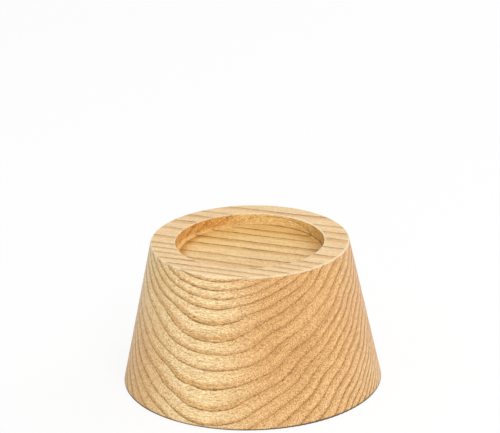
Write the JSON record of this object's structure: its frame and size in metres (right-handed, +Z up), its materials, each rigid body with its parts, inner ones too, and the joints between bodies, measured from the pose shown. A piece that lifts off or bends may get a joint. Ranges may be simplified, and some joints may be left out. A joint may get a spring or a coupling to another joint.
{
  "type": "bed riser",
  "caption": "Round turned wooden block that widens to its base, with a shallow socket in the flat top that takes the foot of a bed or furniture leg and lifts it.",
  "frame": {"origin": "centre of the base, where the riser stands on the floor", "axes": "+Z up along the turning axis, out of the socket; +X and +Y lie in the floor, and -Y faces the picture's viewer"},
  "size_m": [0.1334, 0.1334, 0.0762],
  "materials": {
    "wood": "pale ash-like wood, sanded smooth, with a satin clear finish"
  },
  "bodies": {
    "root": {"riser_block": "wood"}
  },
  "joints": []
}
